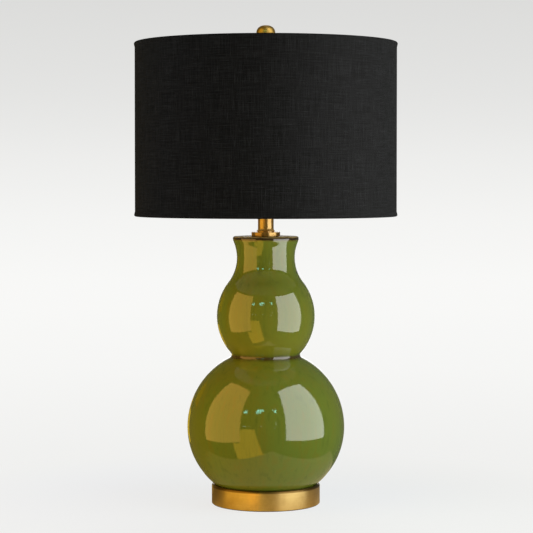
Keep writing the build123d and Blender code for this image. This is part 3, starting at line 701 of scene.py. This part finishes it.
def stud():
    top, pitch = 710.4, 0.94
    low, high = SHOULDER_Z + 1.3, top - 0.5
    count = int((high - low) / pitch * 8)
    head = [(0, 694.4), (2.6, 694.4), (3.7, 694.7), (4.2, 695.3), (4.2, 695.9), (2.4, 695.9)]
    head += raised(SHOULDER_Z, [(2.4, 0), (6.7, 0), (7, 0.3), (7, 1), (6.7, 1.3)])

    def section(a):
        thread = []
        for i in range(count + 1):
            z = low + (high - low) * i / count
            fade = max(0, min(1, (z - low) / pitch, (high - z) / pitch))
            thread.append((3.175 - groove(z, a, pitch, 0.42) * fade, z))
        return head + thread + [(2.5, top), (0, top)]
    wear(turned("stud_threaded", section, 72, closed=False), "stud", HARP_BRASS, "harp_brass", "harp_stud")


# ---- socket, switch and bulb

def socket_cap():
    profile = rounded(raised(CAP_Z, [
        (5, 0), (7.5, 0, 0.6), (7.5, 4.4, 1.4), (11.5, 7.2, 4), (17, 12.8, 3), (17.6, 17.2, 1.4),
        (17.6, 21.3, 0.2), (17.35, 21.6, 0.2), (17.6, 21.9, 0.2), (17.6, 23.5, 0.3), (16.8, 23.5),
        (16.8, 17, 1.5),
        (10.5, 9, 3), (7.5, 6, 1), (5, 6)]))
    cap = drilled(turned("socket_cap_spun", profile, 160), 1.5, 5.5, 12, lying(CAP_Z + 2.6), 32)
    wear(cap, "lamp", SOCKET_BRASS, "socket_brass", "socket_cap")


def socket_shell():
    profile = rounded(raised(SHELL_Z, [
        (15.9, 0), (16.7, 0, 0.2), (16.7, 12, 0.3), (16.45, 12.6, 0.3), (16.7, 13.2, 0.3), (16.7, 37, 0.3),
        (16.4, 37.6, 0.3), (16.7, 38.2, 0.3), (16.7, 42.6, 0.6), (17.5, 43.3, 0.5), (17.5, 44.3, 0.5),
        (16.7, 45, 0.4), (15.9, 45, 0.3), (15.9, 44)]))
    shell = drilled(turned("socket_shell_drawn", profile, 160), 2.8, 10, 22, lying(SHAFT_Z, 90), 40)
    wear(shell, "lamp", SOCKET_BRASS, "socket_brass", "socket_shell")


def screw_shell():
    outer, bore, low, top, rows = 13.6, 13.15, BODY_TOP, BODY_TOP + 22, 60
    levels = [low + 1.5 + (top - low - 2.2) * i / rows for i in range(rows + 1)]

    def section(a):
        wall = [(outer - groove(z, a, SCREW_PITCH, 0.35) * min(1, (z - low) / 4), z) for z in levels]
        inside = [(bore, z) for z in reversed(levels)]
        floor = [(bore, low + 0.45), (6.3, low + 0.45)]
        return [(6.3, low), (outer, low), *wall, (outer, top), (bore, top), *inside, *floor]
    wear(turned("screw_shell_rolled", section, 72), "lamp", CAP_METAL, "cap_metal", "screw_shell")


def knob():
    """Turn knob with rounded finger grooves and a domed end."""
    radius = 6.4

    def section(a):
        ridge = radius - 0.62 * (0.5 - 0.5 * cos(12 * a)) ** 2
        neck = radius - 0.5
        return raised(18.9, [
            (2.45, 0), (neck - 0.5, 0), (neck, 0.4), (neck, 1.2), (ridge - 0.2, 1.9), (ridge, 2.6),
            (ridge, 11.4),
            (ridge - 0.25, 12.1), (ridge - 0.9, 12.7), (radius - 1.9, 13), (radius - 3.5, 12.85), (0, 12.75)])
    piece = turned("turn_knob_ribbed", section, 144, closed=False, place=lying(SHAFT_Z, 90))
    wear(piece, "switch", KNOB, "knob_plastic", "switch_knob")


def bulb():
    low = BULB_Z + 1.2
    profile = rounded([(0, BULB_Z), (3.6, BULB_Z, 0.4), (5, low - 0.3, 0.3), (5, low), (0, low)])
    wear(turned("bulb_tip_soldered", profile, 48, closed=False), "bulb", CAP_METAL, "cap_metal", "bulb_tip")
    rows, start, end = 76, low + 4.4, low + 19.0

    def section(a):
        points = raised(low, [(0, 0), (5, 0), (7.5, 0.9), (11.2, 2.4), (12.5, 3.6)])
        for i in range(rows + 1):
            z = start + (end - start) * i / rows
            fade = max(0, min(1, (z - start) / 2.2, (end - z) / 2.2))
            points.append((12.95 - groove(z, a, SCREW_PITCH, 0.55) * fade - 0.1 * (1 - fade), z))
        return points + raised(low, [(12.95, 20.2), (12.6, 21), (12.6, 22), (0, 22)])
    wear(turned("bulb_cap_threaded", section, 96, closed=False), "bulb", CAP_METAL, "cap_metal", "bulb_cap")
    base, rim = low + 22, low + 55.0
    side = hollow_arc((14.2, base + 1), (27, rim - 0.6), 78, 24)
    profile = [(0, base), (13.4, base), (14, base + 0.3), *side, (26.7, rim - 0.1), (26.4, rim), (0, rim)]
    wear(turned("bulb_housing_moulded", profile, 128, closed=False), "bulb", BULB_WHITE, "bulb_plastic",
         "bulb_housing")
    widest = (29.5, BULB_TOP - 29.5)
    centre = (0, widest[1])
    profile = [(25.5, rim), (26.7, rim), (27, rim + 0.3)]
    profile += arc(bulge(widest, (27, rim))[0], (27.1, rim + 1.2), widest, 16)
    profile += arc(centre, widest, (0, BULB_TOP), 36)[1:-1] + [(0, BULB_TOP), (0, BULB_TOP - 1.5)]
    profile += [on_circle(centre, 28, d) for d in (75, 60, 45, 30, 15, 0)]
    wear(turned("bulb_globe_frosted", profile, 128), "bulb", BULB_GLOBE, "bulb_plastic", "bulb_globe")


# ---- shade and finial

def wire_ring(name, height):
    return turned(name, [on_circle((RING_R, height), WIRE_R, 360 * i / 16) for i in range(16)], 256)


def spider():
    """Top ring with three stepped arms welded to it and to the hub washer."""
    ring_z, arm_z, bend = SHADE_TOP - WIRE_IN, HUB_Z + 0.75, RING_R - 10.0
    pieces = [wire_ring("spider_round", ring_z)]
    for turn in ARMS:
        place = Matrix.Rotation(radians(turn), 4, "Z")
        path = bent_wire([(7.5, 0, arm_z), (bend - 10.5, 0, arm_z), (bend, 0, ring_z), (RING_R, 0, ring_z)],
                         (8, 8))
        arm = swept("arm", path, lambda i: (1.6 * MM, 1.6 * MM if i > 3 else 0.9 * MM, 2))
        arm.data.transform(place)
        spot = Matrix.Translation(((RING_R - 2.6) * MM, 0, (ring_z - 0.1) * MM))
        drop = [(0, -3.2), (1.2, -2.9), (2.1, -1.6), (2.35, 0), (2.1, 1.6), (1.2, 2.9), (0, 3.2)]
        weld = turned("weld", drop, 20, closed=False,
                      place=place @ spot @ Matrix.Rotation(radians(90), 4, "Y"))
        pieces += [arm, weld]
    profile = raised(HUB_Z, [(3.6, 0), (8.5, 0, 0.3), (8.5, 1.5, 0.4), (3.6, 1.5, 0.3), (3.6, 0.2)])
    pieces.append(turned("hub", rounded(profile), 64))
    wear(joined("spider_welded", *pieces), "shade", HARP_BRASS, "harp_brass", "spider_fitter")


def hem(edge, inward):
    """Centreline of the rolled hem, from the cloth's wall round the wire to its turned-in end."""
    wrap = WIRE_R + 0.1 + 0.45
    out = [(WALL_R, 11), (WALL_R, 8), (WALL_R + 0.35, 6.3), (WALL_R + 0.78, 4.5)]
    back = [(RING_R - wrap + 0.02, 4.6), (200.2, 6.4), (199.95, 8), (199.95, 12)]
    roll = [on_circle((RING_R, edge + inward * WIRE_IN), wrap, -inward * d) for d in range(0, 181, 20)]
    out, back = ([(r, edge + inward * z) for r, z in points] for points in (out, back))
    return out + roll + back


def shade_cloth():
    """One sheet of linen round the drum, its two edges rolled over the wires and cut out for the arms."""
    top, low = hem(SHADE_TOP, -1), hem(SHADE_LOW, 1)
    wall_rows = 24
    middle = [(WALL_R, top[0][1] + (low[0][1] - top[0][1]) * i / wall_rows) for i in range(1, wall_rows)]
    outline = list(reversed(top)) + middle + low
    angles = set(round(2 * pi * i / 288 - pi, 6) for i in range(288))
    notch = 2.5 / 199.0
    centres = [radians((turn + 180) % 360 - 180) for turn in ARMS]
    for centre in centres:
        angles = {a for a in angles if abs(a - centre) > notch * 1.6}
        angles |= {round(centre + notch * k, 6) for k in (-1.25, -1, -0.8, -0.4, 0, 0.4, 0.8, 1, 1.25)}
    cloth = turned("linen_shade", outline, angles=sorted(angles), closed=False, sharp=60.0)
    # The flap is cut away round each arm, from the flap's end up to the ring.
    mesh = bmesh.new()
    mesh.from_mesh(cloth.data)
    doomed = []
    for face in mesh.faces:
        c = face.calc_center_median()
        turn = atan2(c.y, c.x)
        near = any(abs((turn - centre + pi) % (2 * pi) - pi) < notch for centre in centres)
        flap = SHADE_TOP - 14 <= c.z / MM <= SHADE_TOP - 0.9 and hypot(c.x, c.y) / MM <= RING_R - 0.6
        if near and flap:
            doomed.append(face)
    bmesh.ops.delete(mesh, geom=doomed, context="FACES")
    mesh.to_mesh(cloth.data)
    mesh.free()
    cloth.data.shade_smooth()
    modify(cloth, "SOLIDIFY", thickness=0.7 * MM, offset=0.0, use_even_offset=True)
    wear(cloth, "shade", CLOTH, "shade_cloth", "shade_fabric")


def finial():
    ball_z, half, radius, side_r = FINIAL_Z + 27.1, 11.5, 14.6, 9.5
    side_x = radius - side_r
    shift = (side_x**2 - (half - side_r) ** 2) / (2 * (half - side_r))
    below, side = (0, ball_z + shift), (side_x, ball_z)
    throat = (5, below[1] - sqrt((half + shift) ** 2 - 25))
    join = on_circle(side, side_r, bearing(below, side))
    stem = raised(FINIAL_Z, [(3.3, 0), (8.2, 0, 0.5), (8.2, 2.2, 0.6), (6.6, 3, 0.8), (5.2, 6.2, 2),
                             (5.2, 9.4, 0.8), (7, 12, 0.6), (7, 14, 0.6), (5, 15.4, 0.5)])
    points = rounded([*stem, throat]) + arc(below, throat, join, 14)[1:]
    points += arc(side, join, (radius, ball_z), 14)[1:]
    turns = [pi / 2 * i / 30 for i in range(1, 30)]
    points += [(radius * cos(t) ** 0.86, ball_z + half * sin(t) ** 0.98) for t in turns]
    points += [(0, ball_z + half), (0, FINIAL_Z + 12), (3.3, FINIAL_Z + 12)]
    wear(turned("finial_turned", points, 160), "finial_knob", FINIAL_BRASS, "satin_brass", "finial")


def finial_washer():
    profile = raised(701.1, [(3.3, 0), (8, 0, 0.2), (8, 0.8, 0.35), (3.3, 0.8, 0.1), (3.3, 0.1)])
    wear(turned("finial_washer_turned", rounded(profile), 96), "washer", FINIAL_BRASS, "satin_brass",
         "finial_washer")


gourd()
brass_foot()
cord_bush()
check_ring()
neck_tube()
nuts()
saddle()
ferrule(-1)
ferrule(1)
harp()
stud()
socket_cap()
socket_shell()
screw_shell()
knob()
bulb()
spider()
wear(wire_ring("lower_ring_round", SHADE_LOW + WIRE_IN), "shade", HARP_BRASS, "harp_brass",
     "shade_bottom_ring")
shade_cloth()
finial()
finial_washer()

# CAD nodes that keep their own shape get their materials here.
for node, material in {
    "base_felt": FELT, "foot_gasket": RUBBER, "top_gasket": RUBBER, "lamp_pipe": THREADED,
    "pipe_washer": ZINC,
    "cap_set_screw": ZINC, "socket_liner": FIBRE, "socket_body": PHENOLIC, "terminal_screws": SOCKET_BRASS,
    "centre_contact": SOCKET_BRASS, "switch_shaft": ZINC, "shade_liner": STYRENE,
}.items():
    obj = NODES[node]
    if not obj.material_slots:
        obj.data.materials.append(material)
    for entry in obj.material_slots:
        entry.material = material


# ---- studio

def area_light(name, inner, outer, low, high, radiance, diffuse, glossy):
    """An upright softbox between two points on the floor plan, facing the lamp."""
    a, b = Vector((*inner, 0)), Vector((*outer, 0))
    width, height, centre = (b - a).length, high - low, (a + b) / 2
    up = Vector((0, 0, 1))
    across = (b - a).normalized()
    out = across.cross(up)
    if out.dot(centre) < 0:
        across, out = -across, -out
    data = bpy.data.lights.new(name, "AREA")
    data.shape = "RECTANGLE"
    data.size, data.size_y = width, height
    strength = max(radiance)
    data.color = [c / strength for c in radiance]
    data.energy = strength * pi * width * height
    obj = bpy.data.objects.new(name, data)
    basis = Matrix((across, up, out)).transposed().to_4x4()
    obj.matrix_world = Matrix.Translation((centre.x, centre.y, (low + high) / 2)) @ basis
    bpy.context.scene.collection.objects.link(obj)
    obj.visible_camera = obj.visible_transmission = False
    obj.visible_diffuse, obj.visible_glossy = diffuse, glossy
    return obj


def reflected_only(obj):
    obj.visible_camera = obj.visible_diffuse = obj.visible_transmission = obj.visible_shadow = False


def pane(azimuth, elevation, width, height, distance=8):
    """Corners of a card, in degrees from the lamp's middle: azimuth 0 is the camera's side, 90 the right."""
    corners = []
    for i, k in ((-1, -1), (1, -1), (1, 1), (-1, 1)):
        az, el = radians(azimuth + i * width / 2), radians(elevation + k * height / 2)
        ahead = Vector((sin(az) * cos(el), -cos(az) * cos(el), sin(el)))
        corners.append(Vector((0, 0, 0.2)) + distance * ahead)
    return corners


def card(name, radiance, *quads):
    """Glowing flat cards that only reflections show."""
    verts = [Vector(p) for quad in quads for p in quad]
    obj = finish_mesh(name, verts, [[4 * i + k for k in range(4)] for i in range(len(quads))], smooth=False)
    strength = max(radiance)
    shader = Shader(name, (0, 0, 0, 1), Emission_Strength=strength, Specular_IOR_Level=0,
                    Emission_Color=(*[c / strength for c in radiance], 1))
    obj.data.materials.append(shader.material)
    reflected_only(obj)


def only_on(light, included, *objects):
    """The light falls on these objects alone, or on all but these."""
    group = bpy.data.collections.new(light.name + "_receivers")
    for o in objects:
        group.objects.link(o)
    light.light_linking.receiver_collection = group
    for entry in group.collection_objects:
        entry.light_linking.link_state = "INCLUDE" if included else "EXCLUDE"


def nearer(panel, gap=0.03):
    """The same panel a little nearer the lamp."""
    inner, outer, low, high = panel
    return tuple(tuple(c * (1 - gap / hypot(*p)) for c in p) for p in (inner, outer)) + (low, high)


# Panels are two points on the floor plan, then the low and the high edge.
LEFT = ((-0.487, -0.698), (-0.942, 0.057), -0.10, 1.324)
RIGHT = ((0.293, -0.585), (0.734, -0.043), -0.015, 1.051)
BACK = ((0.55, 1.15), (-0.55, 1.15), 0.05, 1.1)
BACK_SEEN = ((0.2, 1.5), (-0.2, 1.5), 0, 1.1)
gourd_piece, cloth_piece, knob_piece, *brass_pieces = [bpy.data.objects[n] for n in (
    "gourd", "linen_shade", "turn_knob_ribbed", "brass_foot", "check_ring_brass", "neck_tube_brass",
    "finial_turned")]
left_seen = area_light("left_softbox_seen", *LEFT, (3.7, 1.95, 0.42), False, True)
left_lit = area_light("left_softbox", *nearer(LEFT), (1.88, 1.1844, 0.1504), True, False)
right_seen = area_light("right_softbox_seen", *RIGHT, (5.6, 5.6, 5.35), False, True)
right_lit = area_light("right_softbox", *nearer(RIGHT), (2, 2, 1.9), True, False)
left_cloth = area_light("left_softbox_on_cloth", *nearer(LEFT, 0.06), (1.36, 1.39, 1.5), True, True)
area_light("back_softbox", *BACK, (1.5, 1.5, 1.5), True, False)
area_light("back_softbox_seen", *BACK_SEEN, (2, 2, 2), False, True)
only_on(left_cloth, True, cloth_piece)
# The brass shows both softboxes dimmer, and lower down as well, as mirrored in the white table.
brass_parts = dict(zip(("foot", "ring", "tube", "finial"), brass_pieces))
for side, where, low, high, radiance in (
        ("left", "foot", -0.6, 1.324, (1.32, 0.9, 0.17)), ("right", "foot", -0.6, 1.051, (2.05, 2.3, 2.7)),
        ("left", "ring", -0.6, 1.324, (1.2, 0.74, 0.14)), ("left", "tube", -0.6, 1.324, (2.15, 1.5, 0.3)),
        ("right", "ring", -0.6, 1.051, (3.3, 3.75, 5.3)), ("right", "tube", -0.6, 1.051, (3.7, 4.3, 6.8)),
        ("left", "finial", -0.1, 1.8, (0.95, 0.66, 0.11)), ("right", "finial", -0.1, 2.6, (2.25, 2.3, 2.5))):
    plan = (LEFT if side == "left" else RIGHT)[:2]
    light = area_light(f"{side}_softbox_on_{where}", *plan, low, high, radiance, False, True)
    only_on(light, True, brass_parts[where])
plain_left = area_light("left_softbox_plain", *nearer(LEFT, 0.09), (1.2, 1.12, 0.95), True, True)
plain_right = area_light("right_softbox_plain", *nearer(RIGHT, 0.09), (1.2, 1.2, 1.18), True, True)
card("low_board", (3.1, 1.75, 0.2),
     [(-0.023, -0.411, -0.135), (-0.104, -0.596, -0.035), (-0.585, -0.564, -0.112), (-0.300, -0.333, -0.239)],
     [(-0.104, -0.596, -0.035), (-0.275, -0.99, 0.177), (-0.712, -1.021, 0.168), (-0.402, -0.576, -0.083)])
card("edge_line", (1.3, 0.85, 0.08), pane(-151, -10, 7, 12, 1.3), pane(-160, -8, 4, 10, 1.3))
card("edge_streak", (0.42, 0.22, 0.02), pane(-135, 11, 16, 14, 1.3))
card("windows", (4, 13, 10),
     pane(-33.6, 25.6, 1.6, 3), pane(-31.6, 26, 1.4, 4.6), pane(-29.8, 26.2, 1.2, 5.4),
     pane(-14.2, 27.4, 1.7, 5.2), pane(-11.8, 28, 1.9, 5.8), pane(-9.2, 29.2, 2, 3.2),
     pane(-6.7, 29.6, 1.8, 2.8),
     pane(-4.4, 29.8, 1.6, 2.6), pane(-8.6, 25.8, 1.6, 1.6),
     pane(11.6, 30.6, 0.9, 2), pane(14, 28, 1.5, 3.2), pane(15.8, 28.4, 1.5, 5))
card("far_lines", (2.4, 3, 2.2),
     pane(-31, 6, 4, 1), pane(-24, 6, 2, 0.9), pane(-7, 7, 3, 0.8), pane(15, 11, 1, 5), pane(13, 5, 3, 0.9))


# ---- backdrop and floor

class WorldShader(Shader):
    def __init__(self, world):
        self.tree = world.node_tree
        self.surface = self.tree.nodes["Background"]


def grey(value):
    """The backdrop's tone: grey, a touch warm."""
    return linear(value, value, value - 1.5)


def seen_directly(s):
    """A shader's light path outputs, and 1 where the camera sees the surface."""
    path = s.tree.nodes.new("ShaderNodeLightPath").outputs
    return path, s.math("MAXIMUM", path["Is Camera Ray"], path["Is Transmission Ray"])


scene = bpy.context.scene
world = scene.world = bpy.data.worlds.new("studio")
world.use_nodes = True
w = WorldShader(world)
direction = w.add("TexCoord", output="Generated")
axes = [w.part(direction, k) for k in "XYZ"]
SKY = ((-0.0645, 248), (-0.0535, 248), (-0.0373, 246), (-0.0211, 244), (-0.0049, 240.5), (0.0113, 237),
       (0.0275, 232.5), (0.0437, 228.5), (0.0599, 225.5), (0.0761, 223), (0.0923, 220.5), (0.2, 214))
low, high = -0.08, 0.22
sky = w.ramp(w.map(axes[2], low, high), *[((z - low) / (high - low), grey(v)) for z, v in SKY])
flat = w.math("SQRT",
              w.math("ADD", w.math("MULTIPLY", axes[0], axes[0]), w.math("MULTIPLY", axes[1], axes[1])))
behind = w.math("GREATER_THAN", w.math("DIVIDE", axes[1], flat), cos(radians(10)))
path, seen = seen_directly(w)
shown = w.math("MAXIMUM", seen, w.math("MULTIPLY", path["Is Glossy Ray"], behind))
dim = w.mix(w.map(axes[0], -0.4, 0.6), (0.14, 0.115, 0.045, 1), (0.115, 0.124, 0.118, 1))
w.set(Color=w.mix(shown, dim, sky))


def floor_shader():
    """The floor: its tone is the photograph's, and near the lamp it takes part of its shade."""
    s = Shader("pale_floor", (0.8, 0.8, 0.8, 1))
    tree = s.tree
    tree.nodes.remove(s.surface)
    position = s.add("TexCoord", output="Object")
    away = s.add("VectorMath", {0: position}, operation="LENGTH", output="Value")
    tones = ((0, 237.5), (0.2, 239), (0.53, 240), (0.94, 242), (1.46, 244), (2.14, 246), (3.1, 247),
             (4.5, 248))
    tone = s.ramp(s.map(away, 0, 4.5), *[(r / 4.5, grey(v)) for r, v in tones])
    share = s.map(away, 0.2, 0.58, 0.14, 0, smooth=True)
    side = s.part(position, "X")
    # Painted light: what other rays see of the floor glows gold on the left, as the left softbox would light
    # it.
    painted_light_tint = s.mix(s.map(side, -0.5, 0.5), (0.85, 0.66, 0.26, 1), (0.80, 0.84, 0.80, 1))
    # The left softbox's gold is taken back where the camera sees it on the floor.
    gold_light_share = s.math("MULTIPLY", s.math("MULTIPLY", share, 6), s.map(side, 0.35, -0.35))
    tint = s.mix(seen_directly(s)[1], painted_light_tint, s.mix(gold_light_share, (1, 1, 1, 1), (1.005, 1.02, 1.10, 1)))
    glow = s.add("Emission",
                 {"Color": s.mix(1, tone, tint, "MULTIPLY"), "Strength": s.math("SUBTRACT", 1, share)})
    white = s.math("DIVIDE", share, 0.75)
    matte = s.add("BsdfDiffuse", {"Color": s.mix(white, (0, 0, 0, 1), (0.78, 0.90, 1, 1))})
    lit = s.add("AddShader", {0: glow, 1: matte})
    faded = s.add("MixShader", {0: s.map(away, 4, 6), 1: lit, 2: s.add("BsdfTransparent")})
    tree.links.new(faded, tree.nodes["Material Output"].inputs["Surface"])
    return s.material


def table_painted_light():
    """The table's paint with painted light and shade, as reflections show it: the left softbox's gold glowing
    on the left, darker toward the back.
    """
    paint = linear(232, 220, 190)
    s = Shader("table_painted_light", paint, roughness=0.9)
    side, depth = s.position("X"), s.position("Y")
    # Painted shade darkens the table toward the back, and its glow is painted light, gold on the left and
    # white on the right.
    back = s.math("MULTIPLY", s.map(depth, -0.12, 0.02), s.map(side, -0.1, 0.1, 1, 0.55))
    glow = s.mix(s.map(side, -0.14, 0.14), (1, 0.58, 0.05, 1), (1, 0.8, 0.62, 1))
    s.set(Specular_IOR_Level=0, Emission_Strength=0.4,
          Base_Color=s.mix(back, paint, linear(120, 112, 96)),
          Emission_Color=s.mix(s.math("MULTIPLY", back, 0.85), glow, (0, 0, 0, 1)))
    return s.material


def flat_disc(name, radius, height, corners, first, material):
    """A flat polygon round the lamp whose first corner is at an angle."""
    verts = [(*on_circle((0, 0), radius, first + 360 * i / corners), height) for i in range(corners)]
    obj = finish_mesh(name, verts, [list(range(corners))], smooth=False)
    obj.data.materials.append(material)
    return obj


FLOOR_R, TABLE_HALF, TABLE_TURN = 6, 0.205, 7.5
floor = flat_disc("floor", FLOOR_R, -0.0002, 128, 0, floor_shader())
floor.visible_glossy = False
table = flat_disc("table_top", TABLE_HALF * sqrt(2), -0.0004, 4, TABLE_TURN - 90, table_painted_light())
reflected_only(table)
# The strong softboxes fall on the glaze and the table, and what the shade hides gets a plain pair of its own.
only_on(left_seen, True, gourd_piece, knob_piece)
only_on(right_seen, True, gourd_piece, knob_piece, cloth_piece)
only_on(left_lit, True, gourd_piece, floor, table)
only_on(right_lit, True, gourd_piece, floor, table, cloth_piece)
for light in (plain_left, plain_right):
    only_on(light, False, gourd_piece, knob_piece, floor, table, cloth_piece, *brass_pieces)

# ---- camera

data = bpy.data.cameras.new("camera")
data.sensor_fit = "HORIZONTAL"
data.sensor_width = 36.0
data.lens = 126.74
data.shift_x, data.shift_y = 0.0013, -0.07
data.clip_end = 50.0
camera = bpy.data.objects.new("camera", data)
camera.location = (0.0, -2.9063, 0.5049)
camera.rotation_euler = (radians(90 - 1.568), 0, 0)
scene.collection.objects.link(camera)
scene.camera = camera
scene.view_settings.view_transform = "Standard"

bpy.context.view_layer.update()
